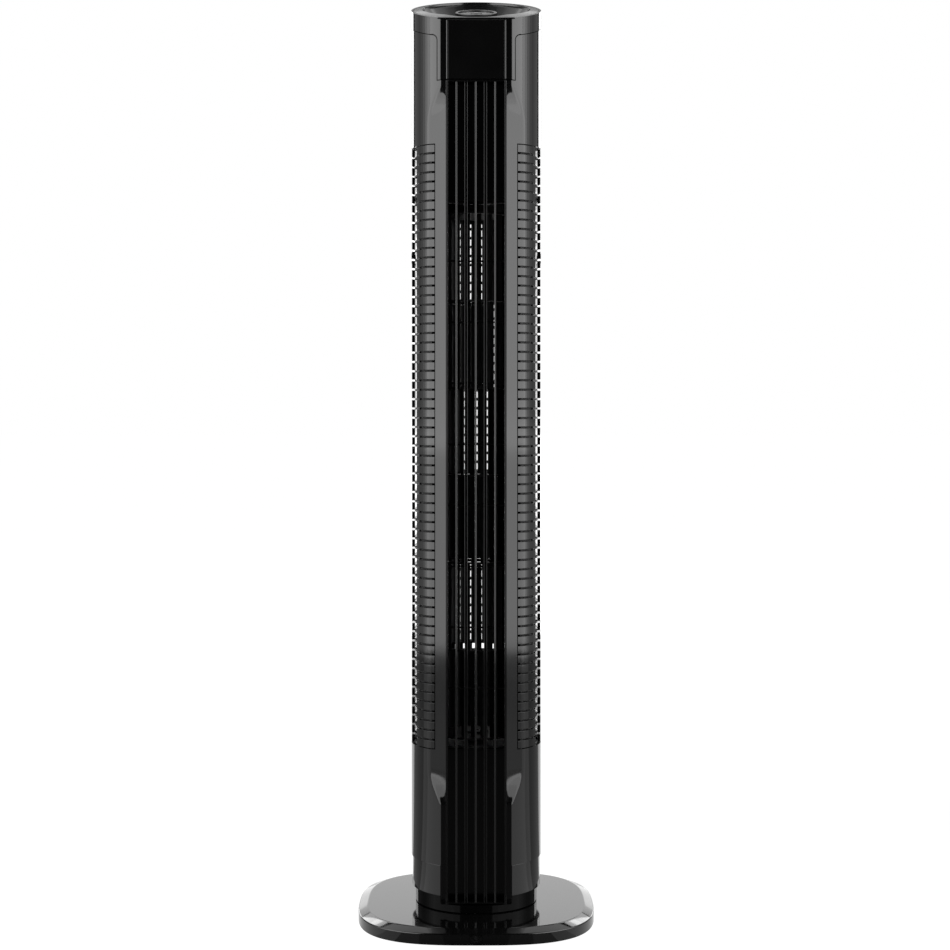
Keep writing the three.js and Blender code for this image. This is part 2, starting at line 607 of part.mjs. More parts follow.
// The parts below lie in the head's own frame, with the rim plane at z = 0.
const BOWL_FLOOR = -BOWL_DEPTH;
const bowlProfile = [
  [19.5, BOWL_FLOOR - 2],
  [BOWL_R - 12, BOWL_FLOOR - 2],
  [BOWL_R, -2.4],
  [95, -2.4],
  [95, 0],
  [BOWL_R + 1.5, 0],
  [BOWL_R - 12, BOWL_FLOOR],
  [19.5, BOWL_FLOOR],
];
const drumInHead = solid(
  new THREE.CylinderGeometry(HEAD_R - 3.2, HEAD_R - 3.2, 400, ROUND)
    .rotateX(Math.PI / 2)
    .translate(0, 0, RIM_Z)
    .applyMatrix4(intoHead),
);
const panelClear = solid(boxGeometry(-100, 100, -120, LAND_Y + 0.3, 800, 1300).applyMatrix4(intoHead));
const bossXY = [[-23, -22], [23, -22], [23, 22], [-23, 22]];
const bosses = bossXY.map(([x, y]) => cylinder(2.5, -22.7, BOWL_FLOOR - 1, x, y, 10));
const bowlBody = cut(turned(bowlProfile, ROUND).intersect(drumInHead), panelClear);
add("control_bowl", join(bowlBody, ...bosses), satinBlack, head);

const padProfile = [
  [21, BOWL_FLOOR + GAP],
  [PAD_R, BOWL_FLOOR + GAP],
  [PAD_R, -3.2],
  [PAD_R - 1.2, -2],
  [21.8, -2],
  [20.5, -3.2],
  [20.5, -10.5],
  [0, -10.5],
  [0, -12],
  [21, -12],
];
const BUTTON_R = 12; // where the stems of the four outer buttons stand
const stemPlaces = [0, 90, 180, 270].map((deg) => arc(BUTTON_R, deg, deg, 1)[0]);
const stemHoles = [[0, 0], ...stemPlaces].map(([x, y]) => cylinder(2.4, -15, -8, x, y, 8));
add("control_pad", cut(turned(padProfile, 24), ...stemHoles), satinBlack, head);

const stem = (x, y) => cylinder(1.8, -20.5, -9, x, y, 8);
add("button_power", join(cylinder(5.8, -9.2, -3, 0, 0, 20), stem(0, 0)), glossBlack, head);
["button_speed", "button_timer", "button_mode", "button_swing"].forEach((name, k) => {
  const mid = k * 90;
  const spread = 42.5;
  const outerEdge = arc(20, mid - spread, mid + spread, 6);
  const innerEdge = arc(6.8, mid + spread - 5, mid - spread + 5, 3);
  const cap = prism([...outerEdge, ...innerEdge], -9.2, -3.8);
  add(name, join(cap, stem(...stemPlaces[k])), satinBlack, head);
});
const switches = [[0, 0], ...stemPlaces].map(([x, y]) => box(x - 3, x + 3, y - 3, y + 3, -23.2, -21.7));
add("control_board", join(box(-28, 28, -26, 26, -24.6, -23), ...switches), board, head);

export default fan;
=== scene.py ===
"""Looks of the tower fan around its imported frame. Sizes are in millimetres until a mesh is made."""
import json
import math

import bmesh
import bpy
from mathutils import Matrix, Vector

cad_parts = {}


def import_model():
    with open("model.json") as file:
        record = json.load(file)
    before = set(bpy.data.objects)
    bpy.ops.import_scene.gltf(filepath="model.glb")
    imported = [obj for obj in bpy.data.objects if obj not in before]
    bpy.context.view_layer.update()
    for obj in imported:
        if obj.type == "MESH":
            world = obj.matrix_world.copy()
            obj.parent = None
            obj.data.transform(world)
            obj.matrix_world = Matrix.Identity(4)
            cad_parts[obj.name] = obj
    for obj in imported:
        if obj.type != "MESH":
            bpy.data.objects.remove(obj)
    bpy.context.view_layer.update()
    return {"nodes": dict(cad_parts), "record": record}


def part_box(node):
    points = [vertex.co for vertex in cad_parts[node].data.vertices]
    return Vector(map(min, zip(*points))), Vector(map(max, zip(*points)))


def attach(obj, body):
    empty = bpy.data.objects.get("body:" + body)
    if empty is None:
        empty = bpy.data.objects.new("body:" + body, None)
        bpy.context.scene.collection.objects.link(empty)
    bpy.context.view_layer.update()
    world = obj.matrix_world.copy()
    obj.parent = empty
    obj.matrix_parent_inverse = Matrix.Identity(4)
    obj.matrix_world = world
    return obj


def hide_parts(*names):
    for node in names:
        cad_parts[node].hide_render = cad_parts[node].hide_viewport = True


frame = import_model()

MM = 0.001
SCENE = bpy.context.scene
RECORD = frame["record"]
BODY_OF = {node: body for body, nodes in RECORD["behaviour"]["bodies"].items() for node in nodes}
SLOT_OF = {row["node"]: row["material_slot"] for row in RECORD["subparts"]}


def low(node):
    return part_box(node)[0] / MM


def high(node):
    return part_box(node)[1] / MM


# ---------------------------------------------------------------- sizes
BODY_R = high("rear_housing").x
HEAD_R = high("head_shell").x
WALL = 2.5
SHELL_BOTTOM = low("rear_housing").z
CHIN_BOTTOM = low("front_housing").z
COLLAR_BOTTOM = low("bottom_collar").z
COLLAR_TOP = high("bottom_collar").z
TONGUE_BOTTOM = low("head_shell").z

LAND_Y = -64.0  # the flat front lands
LAND_X = math.sqrt(BODY_R**2 - LAND_Y**2)
CHANNEL_X = 34.0  # half width of the outlet channel
CHANNEL_BACK = -52.0
PANEL_Y = low("front_panel").y
SCOOP_BOTTOM, SCOOP_TOP = 140.0, 958.0  # where the slanted scoops beside the channel begin and end
SCOOP_RUN = 44.0  # height over which a scoop fades out
SCOOP_X = 54.2  # the scoop's widest reach
SCOOP_DEPTH = 2.8  # how far its inner edge lies behind the lands

OUTLET_BOTTOM, OUTLET_TOP = 200.3, 829.3  # the opening in the channel's back wall

LOUVRE_X = 46.7  # the side windows' inner edge
LOUVRE_END_X = 68.4  # where the slats of the front end, before an open gap
LOUVRE_BOTTOM, LOUVRE_TOP = 202.0, 892.0
LOUVRE_ROWS = 64
PITCH = (LOUVRE_TOP - LOUVRE_BOTTOM) / LOUVRE_ROWS
SLOT = 2.2  # height of the slot between two slats
RIB_R = 71.6  # outside of the thin ribs behind the slats
CHEEK_Y = -12.0  # where the slats beside the seam begin

TILT = math.radians(18.5)
RIM_Z = 1055.0  # the rim plane's height over the axis
HEAD_BAND = 20.0  # height of the head's band over its slanted seam
TONGUE_X = 44.0  # half width of the head's tongue
SEAM_ROUND = 8.0  # the seam turns down beside the tongue with this radius
SEAM = 0.3  # air between two shells
GROOVE = 0.9  # visible width of the head's seams

IMPELLER_Y = (low("impeller_segment_1").y + high("impeller_segment_1").y) / 2
IMPELLER_R = 47.0

# Places a shape that is drawn over a level rim at z = 0 on the slanted rim plane.
HEAD_FRAME = Matrix.Translation((0, 0, RIM_Z)) @ Matrix.Rotation(TILT, 4, "X")


def rim_z(y, drop=0.0):
    """Height of the slanted rim plane, or of a plane below it, at depth y."""
    return RIM_Z - drop + y * math.tan(TILT)


# ---------------------------------------------------------------- shapes
class Shape:
    """Closed shells, gathered into one mesh."""

    def __init__(self):
        self.verts = []
        self.faces = []

    def add(self, made):
        verts, faces = made
        start = len(self.verts)
        self.verts += [Vector(v) for v in verts]
        self.faces += [[start + i for i in face] for face in faces]
        return self

    def placed(self, matrix):
        self.verts = [matrix @ v for v in self.verts]
        return self


def shape(*made):
    """One mesh of several shells, each a pair of vertices and faces."""
    whole = Shape()
    for part in made:
        whole.add(part)
    return whole


def skin(rings, closed=False):
    """Quads between loops of equal count, capped at both ends unless the row of loops closes on itself."""
    count = len(rings[0])
    verts = [point for ring in rings for point in ring]
    steps = [(i, i + 1) for i in range(len(rings) - 1)]
    if closed:
        steps.append((len(rings) - 1, 0))
    faces = []
    for a, b in steps:
        for k in range(count):
            n = (k + 1) % count
            faces.append((a * count + k, a * count + n, b * count + n, b * count + k))
    if not closed:
        faces.append(tuple(range(count)))
        faces.append(tuple(range((len(rings) - 1) * count, len(rings) * count)))
    return verts, faces


def lathe(profile, segments=64, x=0.0, y=0.0):
    """A closed profile of (radius, height) pairs turned round an upright axis."""
    rings = []
    for k in range(segments):
        a = 2 * math.pi * k / segments
        rings.append([(x + r * math.cos(a), y + r * math.sin(a), z) for r, z in profile])
    return skin(rings, closed=True)


def turned_y(made, x, z):
    """A lathed shell laid down, so that its axis points to +Y through (x, z)."""
    verts, faces = made
    return [(x + v[0], v[2], z - v[1]) for v in verts], faces


def prism(outline, z0, z1):
    return skin([[(x, y, z) for x, y in outline] for z in (z0, z1)])


def box(x0, x1, y0, y1, z0, z1):
    return prism([(x0, y0), (x1, y0), (x1, y1), (x0, y1)], z0, z1)


def both_sides(*args):
    """A box on the right and its mirror on the left."""
    x0, x1, *rest = args
    return [box(x0, x1, *rest), box(-x1, -x0, *rest)]


def mirrored(made):
    verts, faces = made
    return [(-v[0], v[1], v[2]) for v in verts], [tuple(reversed(f)) for f in faces]


def arc(radius, start, end, steps, x=0.0, y=0.0):
    angles = [math.radians(start + (end - start) * k / steps) for k in range(steps + 1)]
    return [(x + radius * math.cos(a), y + radius * math.sin(a)) for a in angles]


def inset(outline, distance):
    """The outline moved inwards by a distance, corner by corner."""
    count = len(outline)
    area = sum(outline[k - 1][0] * outline[k][1] - outline[k][0] * outline[k - 1][1] for k in range(count))
    side = 1 if area > 0 else -1
    moved = []
    for k in range(count):
        before, here, after = (Vector(outline[(k + d) % count]) for d in (-1, 0, 1))
        a = (here - before).normalized()
        b = (after - here).normalized()
        normal = Vector((-(a.y + b.y), a.x + b.x)).normalized() * side
        across = max(0.4, normal.dot(Vector((-a.y, a.x)) * side))
        moved.append(tuple(here + normal * distance / across))
    return moved


def rounded_block(outline, z0, z1, r, top_only=False):
    """A prism with rounded upper edges, and lower ones unless top_only."""
    rows = [] if top_only else [(r, z0), (r * 0.3, z0 + r * 0.3)]
    rows += [(0, z0 if top_only else z0 + r), (0, z1 - r), (r * 0.3, z1 - r * 0.3), (r, z1)]
    return skin([[(x, y, z) for x, y in inset(outline, d)] for d, z in rows])


def rounded_bar(depth, height, r):
    """The section of a bar as (depth, height) pairs: its outer face at depth 0, its middle at height 0."""
    h = height / 2
    corners = [(r, -h + r, 180), (depth - r, -h + r, 270), (depth - r, h - r, 0), (r, h - r, 90)]
    return [p for cx, cz, a in corners for p in arc(r, a, a + 90, 3, cx, cz)]


def sweep_level(path, section, z):
    """A bar at height z that follows a level path of (point, inward normal) pairs."""
    rings = [[(p[0] + n[0] * d, p[1] + n[1] * d, z + h) for d, h in section] for p, n in path]
    return skin(rings)


def superellipse(half, power=2.95, count=192):
    points = []
    for k in range(count):
        t = 2 * math.pi * k / count
        c, s = math.cos(t), math.sin(t)
        x = math.copysign(abs(c) ** (2 / power), c) * half
        points.append((x, math.copysign(abs(s) ** (2 / power), s) * half))
    return points


# ---------------------------------------------------------------- materials
def new_material(name):
    material = bpy.data.materials.new(name)
    material.use_nodes = True
    tree = material.node_tree
    return material, tree, tree.nodes["Principled BSDF"]


def noise(tree, size, detail=3.0, roughness=0.5):
    """Noise whose features are about size metres across, in the piece's own coordinates."""
    place = tree.nodes.new("ShaderNodeTexCoord")
    texture = tree.nodes.new("ShaderNodeTexNoise")
    texture.inputs["Scale"].default_value = 1 / size
    texture.inputs["Detail"].default_value = detail
    texture.inputs["Roughness"].default_value = roughness
    tree.links.new(place.outputs["Object"], texture.inputs["Vector"])
    return texture.outputs["Fac"]


NOISE_LOW, NOISE_HIGH = 0.3, 0.7  # nearly all noise lies between these two


def spread(tree, source, low_value, high_value):
    """The source's middle range mapped onto a range of values."""
    node = tree.nodes.new("ShaderNodeMapRange")
    node.inputs["From Min"].default_value = NOISE_LOW
    node.inputs["From Max"].default_value = NOISE_HIGH
    node.inputs["To Min"].default_value = low_value
    node.inputs["To Max"].default_value = high_value
    tree.links.new(source, node.inputs["Value"])
    return node.outputs["Result"]


def between(tree, source, dark, light):
    """The source's middle range mapped onto a range of colours."""
    ramp = tree.nodes.new("ShaderNodeValToRGB")
    ramp.color_ramp.elements[0].position = NOISE_LOW
    ramp.color_ramp.elements[1].position = NOISE_HIGH
    ramp.color_ramp.elements[0].color = (*dark, 1)
    ramp.color_ramp.elements[1].color = (*light, 1)
    tree.links.new(source, ramp.inputs["Fac"])
    return ramp.outputs["Color"]


def bump(tree, shader, source, depth, strength=1.0):
    node = tree.nodes.new("ShaderNodeBump")
    node.inputs["Distance"].default_value = depth
    node.inputs["Strength"].default_value = strength
    tree.links.new(source, node.inputs["Height"])
    tree.links.new(node.outputs["Normal"], shader.inputs["Normal"])


def surface(name, dark, light, rough, grain_size, grain_depth, metallic=0.0, specular=0.5):
    """Moulded or plated stuff: colour and roughness vary a little, over a fine grain."""
    material, tree, shader = new_material(name)
    shader.inputs["Metallic"].default_value = metallic
    shader.inputs["IOR"].default_value = 1.5
    shader.inputs["Specular IOR Level"].default_value = specular
    tree.links.new(between(tree, noise(tree, 0.05), dark, light), shader.inputs["Base Color"])
    tree.links.new(spread(tree, noise(tree, 0.02, 5, 0.6), *rough), shader.inputs["Roughness"])
    bump(tree, shader, noise(tree, grain_size, 2), grain_depth, 0.6)
    return material


def grey(value):
    """A grey that is a trace bluish."""
    return (value, value, value * 1.02)


def circuit_material():
    """Green board with a pattern of paler tracks."""
    material, tree, shader = new_material("circuit_board")
    brick = tree.nodes.new("ShaderNodeTexBrick")
    brick.inputs["Scale"].default_value = 130
    brick.inputs["Mortar Size"].default_value = 0.03
    brick.inputs["Color1"].default_value = (0.01, 0.09, 0.03, 1)
    brick.inputs["Color2"].default_value = (0.008, 0.07, 0.025, 1)
    brick.inputs["Mortar"].default_value = (0.03, 0.2, 0.06, 1)
    place = tree.nodes.new("ShaderNodeTexCoord")
    tree.links.new(place.outputs["Object"], brick.inputs["Vector"])
    tree.links.new(brick.outputs["Color"], shader.inputs["Base Color"])
    tree.links.new(spread(tree, noise(tree, 0.01), 0.25, 0.4), shader.inputs["Roughness"])
    bump(tree, shader, brick.outputs["Fac"], 0.00004)
    return material


# Darkest and lightest colour, roughness range, and the grain's size and depth in metres. Where they are not
# the usual ones, how metallic it is and its specular level follow.
SURFACES = {
    "gloss_black": (grey(0.0012), grey(0.002), (0.06, 0.09), 0.003, 0.0000012),
    "satin_black": (grey(0.005), grey(0.008), (0.28, 0.35), 0.0006, 0.00003),
    "matt_black": (grey(0.008), grey(0.012), (0.5, 0.62), 0.0005, 0.00005),
    "bowl_black": (grey(0.004), grey(0.006), (0.13, 0.18), 0.0008, 0.00001),
    # The same gloss black as the rest, darkened and with a low specular level: painted shade for the shadow
    # that the neck stands in.
    "neck_black_shaded": (grey(0.001), grey(0.0016), (0.06, 0.1), 0.003, 0.000003, 0.0, 0.12),
    "impeller_black": (grey(0.006), grey(0.009), (0.6, 0.7), 0.0006, 0.00004, 0.0, 0.15),
    "grey_plastic": (grey(0.09), grey(0.12), (0.4, 0.5), 0.0006, 0.00004),
    "white_plastic": ((0.6, 0.6, 0.56), (0.7, 0.7, 0.66), (0.25, 0.35), 0.002, 0.00001),
    "black_rubber": (grey(0.012), grey(0.02), (0.75, 0.9), 0.0004, 0.00006),
    "steel": ((0.5, 0.51, 0.53), (0.62, 0.63, 0.65), (0.25, 0.4), 0.0008, 0.00001, 1.0),
    "dark_steel": ((0.12, 0.12, 0.13), (0.2, 0.2, 0.21), (0.4, 0.55), 0.0008, 0.00003, 1.0),
}
MATERIALS = {name: surface(name, *look) for name, look in SURFACES.items()}
MATERIALS["circuit_board"] = circuit_material()


# ---------------------------------------------------------------- pieces
def object_of(name, made):
    """The shape as a mesh object in metres, with its faces turned outwards."""
    mesh = bpy.data.meshes.new(name)
    mesh.from_pydata([v * MM for v in made.verts], [], made.faces)
    work = bmesh.new()
    work.from_mesh(mesh)
    bmesh.ops.remove_doubles(work, verts=work.verts, dist=1e-8)
    bmesh.ops.recalc_face_normals(work, faces=work.faces)
    work.to_mesh(mesh)
    work.free()
    obj = bpy.data.objects.new(name, mesh)
    SCENE.collection.objects.link(obj)
    return obj


def apply_modifiers(obj):
    graph = bpy.context.evaluated_depsgraph_get()
    baked = bpy.data.meshes.new_from_object(obj.evaluated_get(graph))
    obj.modifiers.clear()
    old = obj.data
    obj.data = baked
    bpy.data.meshes.remove(old)


def subtract(obj, made):
    cutter = object_of("cutter", made)
    modifier = obj.modifiers.new("cut", "BOOLEAN")
    modifier.operation = "DIFFERENCE"
    modifier.solver = "EXACT"
    modifier.object = cutter
    apply_modifiers(obj)
    mesh = cutter.data
    bpy.data.objects.remove(cutter)
    bpy.data.meshes.remove(mesh)


def soften(obj, width):
    """Rounds every sharp edge."""
    modifier = obj.modifiers.new("round", "BEVEL")
    modifier.width = width * MM
    modifier.segments = 2
    modifier.limit_method = "ANGLE"
    modifier.angle_limit = math.radians(35)
    modifier.use_clamp_overlap = True
    apply_modifiers(obj)


def piece(node, made, name=None, cuts=(), round_edges=0.0, smooth=32, replaces=True, slot=None, finish=None):
    """A finished mesh that stands for a CAD node, or rides beside it when replaces is false.

    Edges sharper than smooth degrees stay sharp. finish names a material other than the slot's own.
    """
    obj = object_of(name or f"{node}_detail", made)
    for cutter in cuts:
        subtract(obj, cutter)
    if round_edges:
        soften(obj, round_edges)
    obj.data.shade_smooth()
    obj.data.set_sharp_from_angle(angle=math.radians(smooth))
    weighted = obj.modifiers.new("flat faces stay flat", "WEIGHTED_NORMAL")
    weighted.keep_sharp = True
    weighted.weight = 80
    apply_modifiers(obj)
    slot = slot or SLOT_OF[node]
    obj.data.materials.clear()
    obj.data.materials.append(MATERIALS[finish or slot])
    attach(obj, BODY_OF[node])
    if replaces:
        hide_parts(node)


# ---------------------------------------------------------------- base
BASE_HALF = 136.0
BASE_BOTTOM = low("base_shell").z
BASE_DECK = high("base_shell").z
BASE_SKIRT_TOP = 14.5
BASE_BEVEL = 11.0
DECK_HOLE = 40.0
NOTCH_FACE = 128.0  # the notches in the skirt are cut from here outwards
BLANK_DEPTH = 4.5  # how far the front notch's blank lies behind the skirt


def around_centre(outline, radius):
    """A circle whose points lie on the same rays as the outline's."""
    return [tuple(Vector(p).normalized() * radius) for p in outline]


def arched(half, bottom, top, r):
    """An upright opening's outline as (x, z) pairs, with rounded upper corners."""
    corners = arc(r, 0, 90, 4, half - r, top - r) + arc(r, 90, 180, 4, r - half, top - r)
    return [(-half, bottom), (half, bottom), *corners]


def base_pieces():
    edge = superellipse(BASE_HALF)
    rows = [
        (1.0, BASE_BOTTOM),
        (0.3, BASE_BOTTOM + 0.3),
        (0.0, BASE_BOTTOM + 1.0),
        (0.0, BASE_SKIRT_TOP - 1.6),
        (0.3, BASE_SKIRT_TOP - 0.8),
        (1.0, BASE_SKIRT_TOP - 0.1),
        (BASE_BEVEL - 1.5, BASE_DECK - 0.55),
        (BASE_BEVEL - 0.5, BASE_DECK - 0.15),
        (BASE_BEVEL + 0.8, BASE_DECK),
    ]
    rings = [[(x, y, z) for x, y in superellipse(BASE_HALF - d)] for d, z in rows]
    rings += [[(x, y, z) for x, y in around_centre(edge, DECK_HOLE)] for z in (BASE_DECK, BASE_DECK - WALL)]
    inside = [(BASE_BEVEL + 1, BASE_DECK - WALL), (WALL, BASE_SKIRT_TOP - 1), (WALL, BASE_BOTTOM)]
    rings += [[(x, y, z) for x, y in superellipse(BASE_HALF - d)] for d, z in inside]
    notch = arched(6.8, 3.7, 14.0, 1.6)
    reaches = ((-150, -NOTCH_FACE), (NOTCH_FACE, 150))
    notches = shape(*(skin([[(x, y, z) for x, z in notch] for y in ys]) for ys in reaches))
    piece("base_shell", shape(skin(rings, closed=True)), cuts=[notches])

    cover = superellipse(BASE_HALF - WALL - 0.6)
    piece("base_bottom_cover", shape(rounded_block(cover, BASE_BOTTOM, high("base_bottom_cover").z, 0.5)))
    piece("ballast_plate", shape(ballast_plate()), round_edges=0.4)
    for corner in ("rear_right", "rear_left", "front_left", "front_right"):
        foot(f"foot_{corner}")
    cord_gland()
    notch_blank(notch)


def notch_blank(notch):
    """The blank that closes the front notch, set back from the skirt."""
    outline = [(x * 0.97, z * 0.985 + 0.15) for x, z in notch]
    y = BLANK_DEPTH - BASE_HALF
    plate = skin([[(x, y + d, z) for x, z in outline] for d in (0, 2.4)])
    profile = [(0, y - 0.9), (2.1, y - 0.9), (2.5, y - 0.5), (2.5, y + 1), (0, y + 1)]
    made = shape(plate, turned_y(lathe(profile, 32), 0, 8.6))
    piece("base_shell", made, "front_notch_blank", replaces=False, slot="matt_black", finish="impeller_black")


def ballast_plate():
    """A flat slab with the base's outline and a round hole."""
    outline = superellipse(112)
    z0, z1 = low("ballast_plate").z, high("ballast_plate").z
    rings = [[(x, y, z) for x, y in outline] for z in (z0, z1)]
    rings += [[(x, y, z) for x, y in around_centre(outline, 56)] for z in (z1, z0)]
    return skin(rings, closed=True)


def foot(node):
    """A rubber disc with a shallow groove in its underside."""
    centre = (low(node) + high(node)) / 2
    top = high(node).z
    profile = [(0, top), (9, top), (9, 0.5), (8.6, 0.1), (8.2, 0)]
    profile += [(5.6, 0), (5.3, 0.3), (4.2, 0.3), (3.9, 0), (0, 0)]
    piece(node, shape(lathe(profile, 48, centre.x, centre.y)))


def cord_gland():
    """A ribbed bush with a bore for the cord, held in the notch by its flange."""
    middle = (low("cord_gland").z + high("cord_gland").z) / 2
    y = BASE_HALF - 10.4
    body = [(3.6, y), (6.4, y), (6.4, y + 1.4), (4.7, y + 1.4), (4.7, y + 6)]
    for k in range(3):
        start = y + 6.6 + k * 1.8
        body += [(4.7 - 0.2 * k, start), (4.2, start + 0.4), (4.2, start + 1.2), (4.6 - 0.2 * k, start + 1.6)]
    body += [(3.6, y + 11.8)]
    piece("cord_gland", shape(turned_y(lathe(body, 48), 0, middle)))
    plate = skin([[(x, y + d, z) for x, z in arched(6.6, 4.0, 13.7, 1.5)] for d in (6.8, 9)])
    bore = shape(turned_y(lathe([(0, y), (3.8, y), (3.8, y + 20), (0, y + 20)], 48), 0, middle))
    piece("cord_gland", shape(plate), "cord_gland_plate", cuts=[bore], round_edges=0.3, replaces=False)


base_pieces()


# ---------------------------------------------------------------- column: foot
# Where the front housing's flat chin reaches down in front of the neck and the collar.
CHIN_SPACE = shape(box(-LAND_X - 0.7, LAND_X + 0.7, -100, CHANNEL_BACK + 2, CHIN_BOTTOM - 0.5, 200))


def column_foot():
    """The neck, with the two posts that the swing motor is screwed to, and the collar above it."""
    r = high("turntable").x
    bottom, top = low("turntable").z, high("turntable").z
    profile = [
        (17.2, 23), (53, 23), (53, 20.5), (61, 20.5), (61, 23), (r - WALL, 23), (r - WALL, bottom),
        (r - 0.6, bottom), (r - 0.15, bottom + 0.2), (r, bottom + 0.7), (r, top), (r - WALL, top),
        (r - WALL, 26), (21, 26), (21, 28.5), (17.2, 28.5),
    ]
    post_x = (high("swing_motor").x + low("swing_motor").x) / 2 + 17.5
    motor_y = (low("swing_pinion").y + high("swing_pinion").y) / 2
    post = [(0, 25), (3, 25), (3, 36.4), (2.7, 36.7), (0, 36.7)]
    posts = [lathe(post, 32, side * post_x, motor_y) for side in (-1, 1)]
    # The neck gets the darkened gloss black, which is painted shade.
    piece("turntable", shape(lathe(profile, 128), *posts), cuts=[CHIN_SPACE], finish="neck_black_shaded")

    r = high("bottom_collar").x + 0.2
    z0, z1 = COLLAR_BOTTOM, COLLAR_TOP
    profile = [
        (r - 2.4, z0), (r - 0.9, z0), (r - 0.3, z0 + 0.3), (r, z0 + 0.9), (r, z1 - 0.7), (r - 0.2, z1 - 0.2),
        (r - 0.7, z1), (r - 2.4, z1), (r - 2.4, 41), (64, 41), (64, 38.5), (r - 2.4, 38.5),
    ]
    piece("bottom_collar", shape(lathe(profile, 160)), cuts=[CHIN_SPACE])


column_foot()


# ---------------------------------------------------------------- column: housings
def smooth_max(a, b, r):
    """The larger of two values, with the change from one to the other rounded over a reach of r."""
    h = max(r - abs(a - b), 0) / r
    return max(a, b) + h * h * r / 4


def scoop_y(x, z):
    """Depth of the scoop beside the channel: a straight face from the channel's edge to the round side."""
    u = min(1.0, (z - SCOOP_BOTTOM) / SCOOP_RUN, (SCOOP_TOP - z) / SCOOP_RUN)
    if u <= 0:
        return -1e3
    edge = LAND_X + (SCOOP_X - LAND_X) * math.sin(math.pi / 2 * u)
    y_inner = LAND_Y + SCOOP_DEPTH * u * u * (3 - 2 * u)
    y_outer = -math.sqrt(BODY_R**2 - edge**2)
    return y_inner + (x - CHANNEL_X) * (y_outer - y_inner) / (edge - CHANNEL_X)


def front_y(x, z, wall=0.0):
    """Depth at (x, z) of the front housing's outside, or of a face that lies a wall's thickness behind it."""
    r = BODY_R - wall
    round_side = -math.sqrt(max(r * r - x * x, 0))
    return smooth_max(smooth_max(round_side, LAND_Y + wall, 0.3), scoop_y(x, z) + wall * 1.09, 1.2)


def right_half(z, wall=0.0):
    """The outer or inner section at height z, from the side seam towards the channel's edge."""
    r = BODY_R - wall
    side = arc(r, -math.degrees(math.asin(SEAM / 2 / r)), -math.degrees(math.acos(60 / r)), 24)
    xs = [59 - 0.75 * k for k in range(17)]
    xs += [46.5 - 0.3 * k for k in range(40)]
    return side + [(x, front_y(x, z, wall)) for x in xs if x > CHANNEL_X + wall + 0.7]


def housing_section(z):
    """The front housing's whole section at height z, as one closed loop."""
    edge = front_y(CHANNEL_X + 0.5, z)
    outer = right_half(z) + [(CHANNEL_X + 0.5, edge), (CHANNEL_X + 0.15, edge + 0.15)]
    outer += [(CHANNEL_X, edge + 0.5), (CHANNEL_X, CHANNEL_BACK)]
    inner = right_half(z, WALL) + [(CHANNEL_X + WALL, CHANNEL_BACK + WALL)]
    left = [(-x, y) for x, y in reversed(outer)]
    inner_left = [(-x, y) for x, y in inner]
    return [(x, y, z) for x, y in outer + left + inner_left + inner[::-1]]


def heights(top):
    """Levels at which the front housing's section is drawn: close together where a scoop fades."""
    fade = [SCOOP_RUN * k / 20 for k in range(21)]
    levels = [CHIN_BOTTOM, SHELL_BOTTOM]
    levels += [SCOOP_BOTTOM + f for f in fade]
    levels += [SCOOP_BOTTOM + SCOOP_RUN + 120 * k for k in range(1, 7)]
    levels += [SCOOP_TOP - f for f in reversed(fade)]
    return levels + [top]


def slanted_top(drop):
    """Everything above a plane parallel to the rim."""
    corners = [(-120, -120), (120, -120), (120, 120), (-120, 120)]
    low_ring = [(x, y, rim_z(y, drop)) for x, y in corners]
    high_ring = [(x, y, 1300) for x, y in corners]
    return skin([low_ring, high_ring])


# Centre of the rounded corner where the head's seam turns down beside the tongue.
SEAM_ARC_X = TONGUE_X + SEAM_ROUND
SEAM_ARC_Z = rim_z(-math.sqrt(BODY_R**2 - SEAM_ARC_X**2), HEAD_BAND) - SEAM_ROUND


def tongue_space():
    """The notch for the head's tongue, with its rounded upper corners."""
    x = TONGUE_X + GROOVE
    half = [(x, TONGUE_BOTTOM - GROOVE), (x, SEAM_ARC_Z)]
    half += arc(SEAM_ROUND - GROOVE, 180, 90, 10, SEAM_ARC_X, SEAM_ARC_Z)
    half += [(SEAM_ARC_X + 1, 1100)]
    outline = half + [(-a, b) for a, b in reversed(half)]
    return skin([[(a, y, b) for a, b in outline] for y in (-100, -30)])


def side_slot_levels():
    """Heights of the slots' middles; the first and the last slot are cut in half by the window's ends."""
    return [LOUVRE_BOTTOM + PITCH * k for k in range(LOUVRE_ROWS + 1)]


def slat_levels():
    """Heights of the slats' middles."""
    return [LOUVRE_BOTTOM + PITCH * (k + 0.5) for k in range(LOUVRE_ROWS)]


def front_slat_path():
    """Along the housing's outside, from the window's inner edge to the open gap before the seam."""
    start = LOUVRE_X + 0.9
    xs = [start + (LOUVRE_END_X - start) * k / 14 for k in range(15)]
    z = (LOUVRE_BOTTOM + LOUVRE_TOP) / 2
    path = []
    for x in xs:
        slope = (front_y(x + 0.2, z) - front_y(x - 0.2, z)) / 0.4
        path.append(((x, front_y(x, z)), tuple(Vector((-slope, 1)).normalized())))
    return path


def round_path(r, start, end, steps):
    """A level path along an arc, for sweep_level."""
    return [(p, tuple(-Vector(p).normalized())) for p in arc(r, start, end, steps)]


def window_posts(x0, x1, y0, y1):
    """Upright bars in the side windows, on both sides, that tie the slats or ribs together."""
    return both_sides(x0, x1, y0, y1, LOUVRE_BOTTOM - 1.5, LOUVRE_TOP + 1.5)


SLAT = rounded_bar(3.6, PITCH - SLOT, 0.3)
RIB = rounded_bar(4, SLOT, 0.3)


